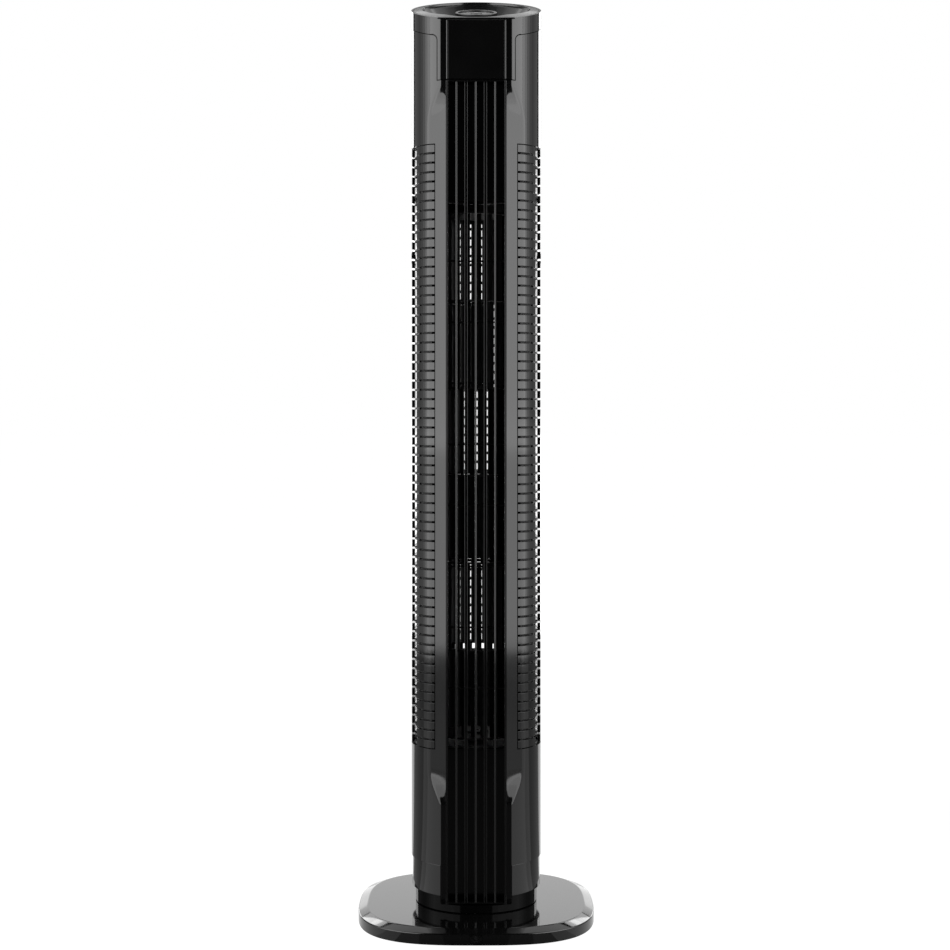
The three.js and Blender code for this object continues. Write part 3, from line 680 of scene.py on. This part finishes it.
def front_housing():
    top = rim_z(BODY_R, HEAD_BAND) + 1
    body = skin([housing_section(z) for z in heights(top)])
    below = both_sides(LAND_X + 0.05, 100, -100, 20, 0, SHELL_BOTTOM)
    windows = both_sides(LOUVRE_X, 100, -100, 5, LOUVRE_BOTTOM, LOUVRE_TOP)
    x = CHANNEL_X - 0.1
    outlet = box(-x, x, CHANNEL_BACK - 1, CHANNEL_BACK + 5, OUTLET_BOTTOM, OUTLET_TOP)
    cuts = [shape(slanted_top(HEAD_BAND + GROOVE)), shape(tongue_space()), shape(*below)]
    cuts += [shape(*windows), shape(outlet)]
    piece("front_housing", shape(body), cuts=cuts, smooth=28)

    path = front_slat_path()
    cheek = round_path(BODY_R, math.degrees(math.asin(CHEEK_Y / BODY_R)), -0.15, 6)
    grille = Shape()
    for z in slat_levels():
        for made in (sweep_level(path, SLAT, z), sweep_level(cheek, SLAT, z)):
            grille.add(made).add(mirrored(made))
    # Baffles stand behind the slots, so that air goes round them and nothing bright shows through.
    baffle = rounded_bar(2.6, SLOT + 3.4, 0.3)
    behind = round_path(RIB_R - 2.4, -50.5, -10, 20)
    outer = round_path(RIB_R, -24, -0.15, 10)
    ribs = Shape()
    for z in side_slot_levels():
        for made in (sweep_level(behind, baffle, z), sweep_level(outer, RIB, z)):
            ribs.add(made).add(mirrored(made))
    piece("front_housing", ribs, "side_ribs", replaces=False, slot="matt_black")
    for post in window_posts(66.2, 68.5, -4.5, -0.2) + window_posts(48.5, 50.5, -52.5, -48):
        grille.add(post)
    piece("front_housing", grille, "side_louvres", replaces=False)


def rear_housing():
    start = math.degrees(math.asin(SEAM / 2 / BODY_R))
    outer = arc(BODY_R, start, 180 - start, 96)
    inner = arc(BODY_R - WALL, 180 - start, start, 96)
    top = rim_z(BODY_R, HEAD_BAND) + 5
    body = prism(outer + inner, SHELL_BOTTOM, top)
    strut_in, strut_out = 41.0, 45.0  # an upright strut parts the back window from each side window
    windows = [box(-strut_in, strut_in, 20, 100, LOUVRE_BOTTOM, LOUVRE_TOP)]
    windows += both_sides(strut_out, 100, -5, 100, LOUVRE_BOTTOM, LOUVRE_TOP)
    well = [(0, 52), (4.4, 52), (4.4, 90), (0, 90)]
    wells = []
    for k in range(1, 5):
        node = f"housing_screw_{k}"
        centre = (low(node) + high(node)) / 2
        wells.append(turned_y(lathe(well, 40), centre.x, centre.z))
        screw(node, centre)
    cuts = [shape(slanted_top(HEAD_BAND + GROOVE)), shape(*windows), shape(*wells)]
    piece("rear_housing", shape(body), cuts=cuts, smooth=28)

    back_rib = rounded_bar(4, SLOT + 1.4, 0.4)
    cheek = round_path(BODY_R, 0.15, 18.5, 8)
    side = round_path(RIB_R, 0.15, 52.6, 24)
    strut_angle = math.degrees(math.acos((strut_in + 0.6) / BODY_R))
    middle = round_path(BODY_R - 0.3, strut_angle, 180 - strut_angle, 40)
    grille = Shape()
    for z in slat_levels():
        made = sweep_level(cheek, SLAT, z)
        grille.add(made).add(mirrored(made))
    for z in side_slot_levels():
        made = sweep_level(side, RIB, z)
        grille.add(made).add(mirrored(made)).add(sweep_level(middle, back_rib, z))
    for post in window_posts(66.2, 68.5, 0.2, 4.5) + window_posts(41.2, 44.8, 53, 61):
        grille.add(post)
    piece("rear_housing", grille, "rear_ribs", replaces=False)


def screw(node, centre):
    """A pan-head screw along Y with a cross recess."""
    head, tip = high(node).y, low(node).y
    profile = [(0, head - 0.1), (1.6, head - 0.05), (3.0, head - 0.5), (3.7, head - 1.4), (3.7, head - 2.6)]
    profile += [(1.8, head - 2.6), (1.8, tip + 2), (0.4, tip), (0, tip)]
    arms = [box(-2, 2, head - 1.4, head + 1, -0.4, 0.4), box(-0.4, 0.4, head - 1.4, head + 1, -2, 2)]
    cross = [shape(arm).placed(Matrix.Translation((centre.x, 0, centre.z))) for arm in arms]
    piece(node, shape(turned_y(lathe(profile, 32), centre.x, centre.z)), cuts=cross)


front_housing()
rear_housing()


# ---------------------------------------------------------------- column: outlet grille
VANE_PITCH = 11.0
# A vane's width, how far its front lies behind the grille's, and how deep its rounded nose is.
NARROW_VANE = (2.0, 1.4, 0.7)
WIDE_VANE = (3.3, 4.4, 0.25)
TOP_BAR = 827.5
BAR_PITCH = 69.5
BARS = 10


def vane(x, width, front, nose_depth):
    """An upright vane with a rounded front edge and a thinner tail."""
    squash = nose_depth * 2 / width
    nose = [(x + a, front + nose_depth + b * squash) for a, b in arc(width / 2, 180, 360, 10)]
    tail = [(x + width * 0.3, CHANNEL_BACK - 2.5), (x - width * 0.3, CHANNEL_BACK - 2.5)]
    return prism(nose + tail, CHIN_BOTTOM + 1, TONGUE_BOTTOM - 1.6)


def outlet_grille():
    x = CHANNEL_X - SEAM
    z0, z1 = low("outlet_grille").z, high("outlet_grille").z
    back = high("outlet_grille").y
    front = low("outlet_grille").y
    frame_bars = both_sides(x - 1.7, x, front, back, z0, z1)
    frame_bars += [box(-x, x, front + 0.6, back, z0, z0 + 2), box(-x, x, front + 0.6, back, z1 - 2, z1)]
    piece("outlet_grille", shape(*frame_bars), round_edges=0.5)
    parts = Shape()
    for k in range(-2, 3):
        width, set_back, nose_depth = WIDE_VANE if k % 2 else NARROW_VANE
        parts.add(vane(k * VANE_PITCH - 0.5, width, front + set_back, nose_depth))
    bar = rounded_bar(2.4, 2.2, 0.7)
    path = [((-x + 0.5, CHANNEL_BACK - 4), (0, 1)), ((x - 0.5, CHANNEL_BACK - 4), (0, 1))]
    for k in range(BARS):
        parts.add(sweep_level(path, bar, TOP_BAR - BAR_PITCH * k))
    piece("outlet_grille", parts, "outlet_vanes", replaces=False)


outlet_grille()


# ---------------------------------------------------------------- column: air path and impeller
BLADES = 22
# Degrees by which each segment is turned about the impeller's axis, so that the blades don't line up.
TURNS = {1: 7.1, 2: 8.5, 3: 14.1, 4: 0.0, 5: 7.3, 6: 15.8}
PLATE = 1.6  # thickness of the air guides


def curved_plate(outer_r, start, end, steps, z0, z1):
    """An upright plate bent round the impeller's axis, from one angle to another."""
    outer = arc(outer_r, start, end, steps, 0, IMPELLER_Y)
    inner = arc(outer_r - PLATE, end, start, steps, 0, IMPELLER_Y)
    return prism(outer + inner, z0, z1)


def air_guides():
    z0, z1 = low("volute_guide").z, high("volute_guide").z
    piece("volute_guide", shape(curved_plate(53.6, -46, 48, 48, z0, z1)), round_edges=0.3)
    piece("tongue_guide", shape(curved_plate(51.1, 196, 226, 20, z0, z1)), round_edges=0.3)


def blade_outline(turn):
    """A curved blade's section: a thin crescent between the impeller's inner and outer circles."""
    inner_r, outer_r, lean, bow, half = 38.6, IMPELLER_R - 0.3, 8.0, 2.0, 0.45
    a = Vector(arc(inner_r, turn, turn, 1)[0])
    b = Vector(arc(outer_r, turn + lean, turn + lean, 1)[0])
    along = (b - a).normalized()
    across = Vector((-along.y, along.x))
    spine = [a.lerp(b, k / 6) + across * bow * math.sin(math.pi * k / 6) for k in range(7)]
    left = [p + across * half for p in spine]
    right = [p - across * half for p in reversed(spine)]
    return [(p.x, p.y + IMPELLER_Y) for p in left + right]


def disc_profile(inner_r, z0):
    """The section of a disc 2 mm thick with rounded rims, from its bore round its edge and back."""
    edge = IMPELLER_R - 0.3
    rim = [(edge, z0), (IMPELLER_R, z0 + 0.3), (IMPELLER_R, z0 + 1.7), (edge, z0 + 2)]
    return [(inner_r, z0), *rim, (inner_r, z0 + 2)]


def impeller():
    """Six sections, each a disc with its blades, closed by the top disc with its journal."""
    for k, turn in TURNS.items():
        node = f"impeller_segment_{k}"
        z0, z1 = low(node).z, high(node).z
        parts = shape(lathe(disc_profile(14.5 if k == 6 else 36.5, z0), 96, 0, IMPELLER_Y))
        for b in range(BLADES):
            parts.add(prism(blade_outline(turn + b * 360 / BLADES), z0 + 1, z1))
        piece(node, parts, finish="impeller_black")
    z0 = low("impeller_top_disc").z
    top = high("impeller_top_disc").z
    profile = disc_profile(0, z0)[:-1]
    profile += [(9, z0 + 2), (8.5, z0 + 6), (3.5, z0 + 7), (3.5, top - 0.6), (2.9, top), (0, top)]
    piece("impeller_top_disc", shape(lathe(profile, 96, 0, IMPELLER_Y)), finish="impeller_black")


def top_bearing():
    """The bush round the impeller's journal, and the arm that holds it, with its two rivets."""
    z0, z1 = low("top_bearing").z, high("top_bearing").z
    bush = [(3.9, z0), (8, z0), (8.6, z0 + 0.6), (8.6, z1 - 0.6), (8, z1), (3.9, z1)]
    piece("top_bearing", shape(lathe(bush, 64, 0, IMPELLER_Y)))
    arm = prism([(-15.5, -49), (15.5, -49), (15.5, -44), (9, -3), (-9, -3), (-15.5, -44)], z0 + 0.6, z0 + 2.8)
    rivet = [(0, z0 - 1), (2.2, z0 - 1), (2.8, z0), (2.8, z0 + 0.8), (0, z0 + 0.8)]
    made = shape(arm, *(lathe(rivet, 24, x, -46) for x in (-8, 8)))
    piece("top_bearing", made, "bearing_bracket", round_edges=0.3, replaces=False, slot="grey_plastic")


def end_wall():
    """The wall under the duct's ceiling that keeps air from slipping past the impeller's end."""
    z0, z1 = low("duct_ceiling").z - 24, low("duct_ceiling").z - 0.2
    piece("duct_ceiling", shape(curved_plate(50.6, 4, 176, 60, z0, z1)), "impeller_end_wall", replaces=False)


air_guides()
end_wall()
impeller()
top_bearing()


# ---------------------------------------------------------------- control head
def head_outline():
    """The head's outside, as the points of one turn that starts and ends at the right of the tongue."""
    half_gap = math.degrees(math.acos(SEAM_ARC_X / HEAD_R))
    turn = arc(HEAD_R, -half_gap, 180 + half_gap, 120)
    corner = [TONGUE_X + SEAM_ROUND * (1 - math.cos(math.pi / 2 * k / 8)) for k in range(8)]
    right = [(x, -math.sqrt(HEAD_R**2 - x * x)) for x in corner]
    left = [(-x, y) for x, y in reversed(right)]
    return right + turn + left


def seam_height(x, y):
    """Height of the head's lower edge over a point of its outline."""
    if abs(x) < SEAM_ARC_X and y < 0:
        reach = SEAM_ARC_X - abs(x)
        return SEAM_ARC_Z + math.sqrt(max(SEAM_ROUND**2 - reach**2, 0))
    return rim_z(y, HEAD_BAND)


# The top of the head's wall, as (depth, drop) pairs from the outside inwards.
ROUNDED_TOP = [(0, 0.5), (0.15, 0.15), (0.5, 0), (2.8, 0)]
CHAMFERED_TOP = [(0, 1.8), (0.15, 1.5), (1.7, 0.1), (2.0, 0), (WALL, 0)]


def wall_ring(x, y, inward, bottom, top):
    """One upright section through the head's wall."""
    thickness = top[-1][0]
    ring = []
    for depth, drop in [(0, None), *top, (thickness, None)]:
        px, py = x + inward[0] * depth, y + inward[1] * depth
        ring.append((px, py, bottom if drop is None else rim_z(py, drop)))
    return ring


def tongue_outline():
    """The front of the head's tongue, flat in the middle and round at both ends."""
    xs = [TONGUE_X - (TONGUE_X - LAND_X - 0.4) * k / 4 for k in range(5)]
    xs += [LAND_X + 0.2, LAND_X - 0.2, LAND_X - 0.6, CHANNEL_X, 18.0]
    right = [(x, smooth_max(-math.sqrt(HEAD_R**2 - x * x), LAND_Y, 0.4)) for x in xs]
    return right + [(0.0, LAND_Y)] + [(-x, y) for x, y in reversed(right)]


def head_shell():
    band = []
    for x, y in head_outline():
        inward = tuple(-Vector((x, y)).normalized())
        band.append(wall_ring(x, y, inward, seam_height(x, y), ROUNDED_TOP))
    tongue = [wall_ring(x, y, (0.0, 1.0), TONGUE_BOTTOM, CHAMFERED_TOP) for x, y in tongue_outline()]
    piece("head_shell", shape(skin(band), skin(tongue)), smooth=24)


def front_panel():
    """The panel on the tongue, cut off along the slanted rim."""
    x, back = 32.3, LAND_Y - SEAM
    bottom = low("front_panel").z + 0.2
    ring = [(-x, PANEL_Y), (x, PANEL_Y), (x, back), (-x, back)]
    rows = [[(a, b, bottom) for a, b in ring], [(a, b, rim_z(b, 2.8 if b < back else 1.9)) for a, b in ring]]
    piece("front_panel", shape(skin(rows)), round_edges=0.6)
    # The frame line that carries on upwards from the outlet's frame on both sides of the panel.
    rail = []
    for side in (-1, 1):
        inner, outer = sorted((side * 33.0, side * CHANNEL_X))
        ring = [(inner, PANEL_Y + 0.5), (outer, PANEL_Y + 0.5), (outer, back), (inner, back)]
        rail.append(skin([[(a, b, bottom) for a, b in ring], [(a, b, rim_z(b, 2.2)) for a, b in ring]]))
    piece("head_shell", shape(*rail), "panel_frame", round_edges=0.5, replaces=False)


BOWL_R = 63.0
RIM_CROWN = 0.14  # how steeply the rim falls outwards from the bowl's edge
BOWL_FLOOR = -16.0


def inside_head(x, y, margin):
    """Whether a point seen from above lies inside the head's outline, by at least a margin."""
    r = HEAD_R - margin
    return x * x + y * y <= r * r and y >= LAND_Y + margin


def rim_reach(angle, margin):
    """Distance on the rim plane from the axis to the head's inner wall, towards an angle."""
    near, far = 10.0, 100.0
    for _ in range(30):
        middle = (near + far) / 2
        x, y = middle * math.cos(angle), middle * math.sin(angle) * math.cos(TILT)
        near, far = (middle, far) if inside_head(x, y, margin) else (near, middle)
    return near


def control_bowl():
    """The crowned rim, the bowl with its flat floor, and four posts for the board under it."""
    count = 144
    angles = [2 * math.pi * k / count for k in range(count)]
    reach = [rim_reach(a, 3.05) for a in angles]
    front_limit = [min(1.0, (r - 0.6) / (BOWL_R + 1.6)) for r in reach]

    def ring(radius, z, crown=0.0):
        """A loop round the axis, drawn in where the head is flat in front."""
        radii = [radius * f for f in front_limit]
        rise = [crown * (far - near) for far, near in zip(reach, radii)]
        return [(r * math.cos(a), r * math.sin(a), z + h) for a, r, h in zip(angles, radii, rise)]

    def edge(less, z):
        """A loop along the head's inner wall."""
        return [((r - less) * math.cos(a), (r - less) * math.sin(a), z) for a, r in zip(angles, reach)]

    # The rim from the wall inwards, the sloping side, the floor up to the pad's hole, and the underside.
    rows = [edge(0, -2.4), edge(0, -0.3), edge(0.3, 0)]
    rows += [ring(BOWL_R + r, z, RIM_CROWN) for r, z in ((0.5, 0), (0.2, -0.1), (-0.05, -0.35))]
    rows += [ring(BOWL_R - 0.3 - 11.6 * k / 6, -0.7 - 13.8 * k / 6) for k in range(7)]
    rows += [ring(r, z) for r, z in ((50.6, -15.2), (49.6, -15.8), (48.2, BOWL_FLOOR))]
    rows += [ring(r, BOWL_FLOOR) for r in (36, 26, 19.6)]
    rows += [ring(19.6, BOWL_FLOOR - 2), ring(49.6, BOWL_FLOOR - 2), ring(60.6, -4.6)]
    post = [(0, -22.7), (2.5, -22.7), (2.5, -17), (0, -17)]
    posts = [lathe(post, 24, x, y) for x in (-23, 23) for y in (-22, 22)]
    made = shape(skin(rows, closed=True), *posts).placed(HEAD_FRAME)
    piece("control_bowl", made, smooth=40, finish="bowl_black")


# Where the buttons' stems stand on the rim plane: the round one's first, then the four keys'.
STEMS = [(0.0, 0.0)] + [arc(12, a, a, 1)[0] for a in (0, 90, 180, 270)]
KEYS = ["button_speed", "button_timer", "button_mode", "button_swing"]


def control_pad():
    """The raised round pad: a ring round a sunk floor, with a hole for each button's stem."""
    profile = [
        (21, BOWL_FLOOR + 0.3), (24.2, BOWL_FLOOR + 0.3), (24.5, BOWL_FLOOR + 0.6), (24.5, -3.0),
        (24.4, -2.5), (24.1, -2.25), (23.6, -2.2), (21.6, -2.2), (21.1, -2.4), (20.8, -2.9), (20.7, -10.5),
        (0, -10.5), (0, -12), (21, -12),
    ]
    stems = shape(*(lathe([(0, -16), (2.4, -16), (2.4, -8), (0, -8)], 24, x, y) for x, y in STEMS))
    pad = shape(lathe(profile, 128)).placed(HEAD_FRAME)
    piece("control_pad", pad, cuts=[stems.placed(HEAD_FRAME)], smooth=40)


def buttons():
    """A round button in the middle and four ring sectors round it, each on a stem."""

    def stem(x, y):
        return lathe([(0, -20.5), (1.5, -20.5), (1.8, -20.2), (1.8, -8.8), (0, -8.8)], 24, x, y)

    dome = [(0, -9.2), (5.5, -9.2), (5.8, -8.9), (5.8, -4.0), (5.6, -3.4), (5.1, -3.0)]
    dome += [(3.6, -2.8), (1.8, -3.05), (0, -3.15)]
    power = shape(lathe(dome, 64), stem(0, 0)).placed(HEAD_FRAME)
    piece("button_power", power, smooth=40)
    for k, node in enumerate(KEYS):
        middle = k * 90
        outer = arc(20.0, middle - 42.3, middle + 42.3, 22)
        inner = arc(6.9, middle + 37.5, middle - 37.5, 12)
        key = shape(rounded_block(outer + inner, -9.2, -3.6, 0.7), stem(*STEMS[k + 1]))
        piece(node, key.placed(HEAD_FRAME), smooth=40, finish="bowl_black")


head_shell()
front_panel()
control_bowl()
control_pad()
buttons()


# ---------------------------------------------------------------- CAD nodes
# Those that no piece stands for are shown as they are.
for name, obj in frame["nodes"].items():
    obj.data.materials.clear()
    obj.data.materials.append(MATERIALS[SLOT_OF[name]])


# ---------------------------------------------------------------- floor, light, camera
# From here on, places and sizes are in metres.
def floor_piece(name, verts, faces, z, tone, roughness, specular, glow):
    """A flat piece of the set at height z that glows."""
    mesh = bpy.data.meshes.new(name)
    mesh.from_pydata(verts, [], faces)
    obj = bpy.data.objects.new(name, mesh)
    obj.location.z = z
    SCENE.collection.objects.link(obj)
    material, _, shader = new_material(name)
    shader.inputs["Base Color"].default_value = (tone, tone, tone, 1)
    shader.inputs["Roughness"].default_value = roughness
    shader.inputs["Specular IOR Level"].default_value = specular
    shader.inputs["Emission Color"].default_value = (1, 1, 1, 1)
    shader.inputs["Emission Strength"].default_value = glow
    mesh.materials.append(material)
    return obj


def stage_floor():
    reach = 30.0
    corners = [(-reach, -reach, 0), (reach, -reach, 0), (reach, reach, 0), (-reach, reach, 0)]
    floor = floor_piece("floor", corners, [(0, 1, 2, 3)], -0.0002, 0.1, 0.6, 0.0, 1.0)

    # Cloths lie on the floor round the fan and hold back what it mirrors. The camera doesn't see them.
    # Each is (from, to) in degrees of azimuth, and how strongly it glows.
    right = [(14, 26, 0.05), (26, 38, 0.15), (38, 50, 0.5), (50, 92, 0.75), (92, 104, 0.5), (104, 140, 0.2)]
    sheets = [(-14, 14, 0.0)] + right + [(-end, -start, glow) for start, end, glow in right]
    for k, (start, end, glow) in enumerate(sheets):
        floor_sheet(f"floor_cloth_{k}", start, end, glow)


def floor_sheet(name, start, end, glow):
    """A sector of cloth on the floor, from one azimuth to another."""
    count = max(2, int((end - start) / 6))
    angles = [math.radians(start + (end - start) * k / count) for k in range(count + 1)]
    verts = [(d * math.sin(a), -d * math.cos(a), 0.0) for d in (0.128, 40.0) for a in angles]
    faces = [(k, k + 1, count + 2 + k, count + 1 + k) for k in range(count)]
    cloth = floor_piece(name, verts, faces, 0.0004, 0.01, 0.95, 0.5, glow)
    cloth.visible_camera = False


def light_panel(name, location, target, size, radiance):
    """A rectangular light that faces a target and gives the same radiance whatever its size."""
    light = bpy.data.lights.new(name, "AREA")
    light.shape = "RECTANGLE"
    light.size, light.size_y = size
    light.energy = radiance * math.pi * size[0] * size[1]
    obj = bpy.data.objects.new(name, light)
    obj.location = location
    obj.rotation_euler = (Vector(target) - Vector(location)).to_track_quat("-Z", "Y").to_euler()
    obj.visible_camera = False
    SCENE.collection.objects.link(obj)


def card(name, azimuth, distance, degrees_wide, z0, z1, radiance):
    """An upright light panel that faces the column. Azimuth 0 is in front of the fan, 90 on its right."""
    width = 2 * distance * math.tan(math.radians(degrees_wide / 2))
    a = math.radians(azimuth)
    z = (z0 + z1) / 2
    location = (distance * math.sin(a), -distance * math.cos(a), z)
    light_panel(name, location, (0, 0, z), (width, z1 - z0), radiance)


SIDE_AT, BACK_AT, SHOULDER_AT, RIM_AT = 1.6, 2.6, 2.7, 2.4  # how far away the upright panels stand
CEILING = 2.75  # height of the panels overhead


def lights():
    # Softboxes beside the fan, which fade towards the back: (from, to) azimuth, and radiance.
    fades = [
        (30, 42, 3.6), (42, 88, 4.3), (88, 94, 3.2), (94, 100, 2.1), (100, 107, 1.1), (107, 114, 0.6),
        (114, 138, 0.4),
    ]
    # Panels over the control bowl: (from, to) distance from the middle on either side, and radiance.
    bowl_panels = [(0.6, 1.0, 0.22), (1.0, 1.3, 0.7), (1.3, 1.9, 1.4)]
    for side in (-1, 1):
        for start, end, radiance in fades:
            middle, wide = side * (start + end) / 2, end - start
            card(f"side_{side}_{start}", middle, SIDE_AT, wide, 0.5, 2.0, radiance)
            card(f"side_low_{side}_{start}", middle, SIDE_AT, wide, 0.1, 0.5, radiance * 0.65)
        # The silhouette's bright edges, and the shine on the head's slanted rim.
        card(f"rim_{side}", side * 152, RIM_AT, 13, 0.0, 2.0, 3.4)
        card(f"shoulder_low_{side}", 180 - side * 18, SHOULDER_AT, 16, 0.98, 1.6, 1.9)
        card(f"shoulder_{side}", 180 - side * 19, SHOULDER_AT, 18, 1.6, 1.95, 3.3)
        for start, end, radiance in bowl_panels:
            x, y = side * (start + end) / 2, -0.15
            light_panel(f"bowl_{side}_{start}", (x, y, CEILING), (x, y, 0), (end - start, 2.9), radiance)
    # What the base's deck and its bevel mirror.
    card("backdrop_low", 180, BACK_AT, 46, 0.0, 0.56, 2.0)
    card("backdrop", 180, BACK_AT, 46, 0.56, 0.95, 1.38)
    card("backdrop_high", 180, BACK_AT, 20, 1.95, 2.7, 0.4)
    light_panel("overhead", (0, 1.75, CEILING), (0, 0, 0.02), (4.6, 1.5), 1.1)


def world():
    """White where the camera looks past the fan, and nearly black in what the fan mirrors."""
    made = bpy.data.worlds.new("studio")
    SCENE.world = made
    made.use_nodes = True
    tree = made.node_tree
    background = tree.nodes["Background"]
    background.inputs["Color"].default_value = (0.02, 0.02, 0.02, 1)
    seen = tree.nodes.new("ShaderNodeBackground")
    seen.inputs["Color"].default_value = (1, 1, 1, 1)
    path = tree.nodes.new("ShaderNodeLightPath")
    mix = tree.nodes.new("ShaderNodeMixShader")
    tree.links.new(path.outputs["Is Camera Ray"], mix.inputs["Fac"])
    tree.links.new(background.outputs["Background"], mix.inputs[1])
    tree.links.new(seen.outputs["Background"], mix.inputs[2])
    tree.links.new(mix.outputs["Shader"], tree.nodes["World Output"].inputs["Surface"])


def camera():
    """In front of the fan at a little over half its height, with its view shifted and not tilted."""
    data = bpy.data.cameras.new("camera")
    data.sensor_width = 36
    data.lens = 72
    data.shift_x = -0.00125
    data.shift_y = -0.079
    obj = bpy.data.objects.new("camera", data)
    obj.location = (0, -2.219, 0.600)
    obj.rotation_euler = (math.pi / 2, 0, 0)
    SCENE.collection.objects.link(obj)
    SCENE.camera = obj


stage_floor()
lights()
world()
camera()
SCENE.view_settings.view_transform = "Standard"
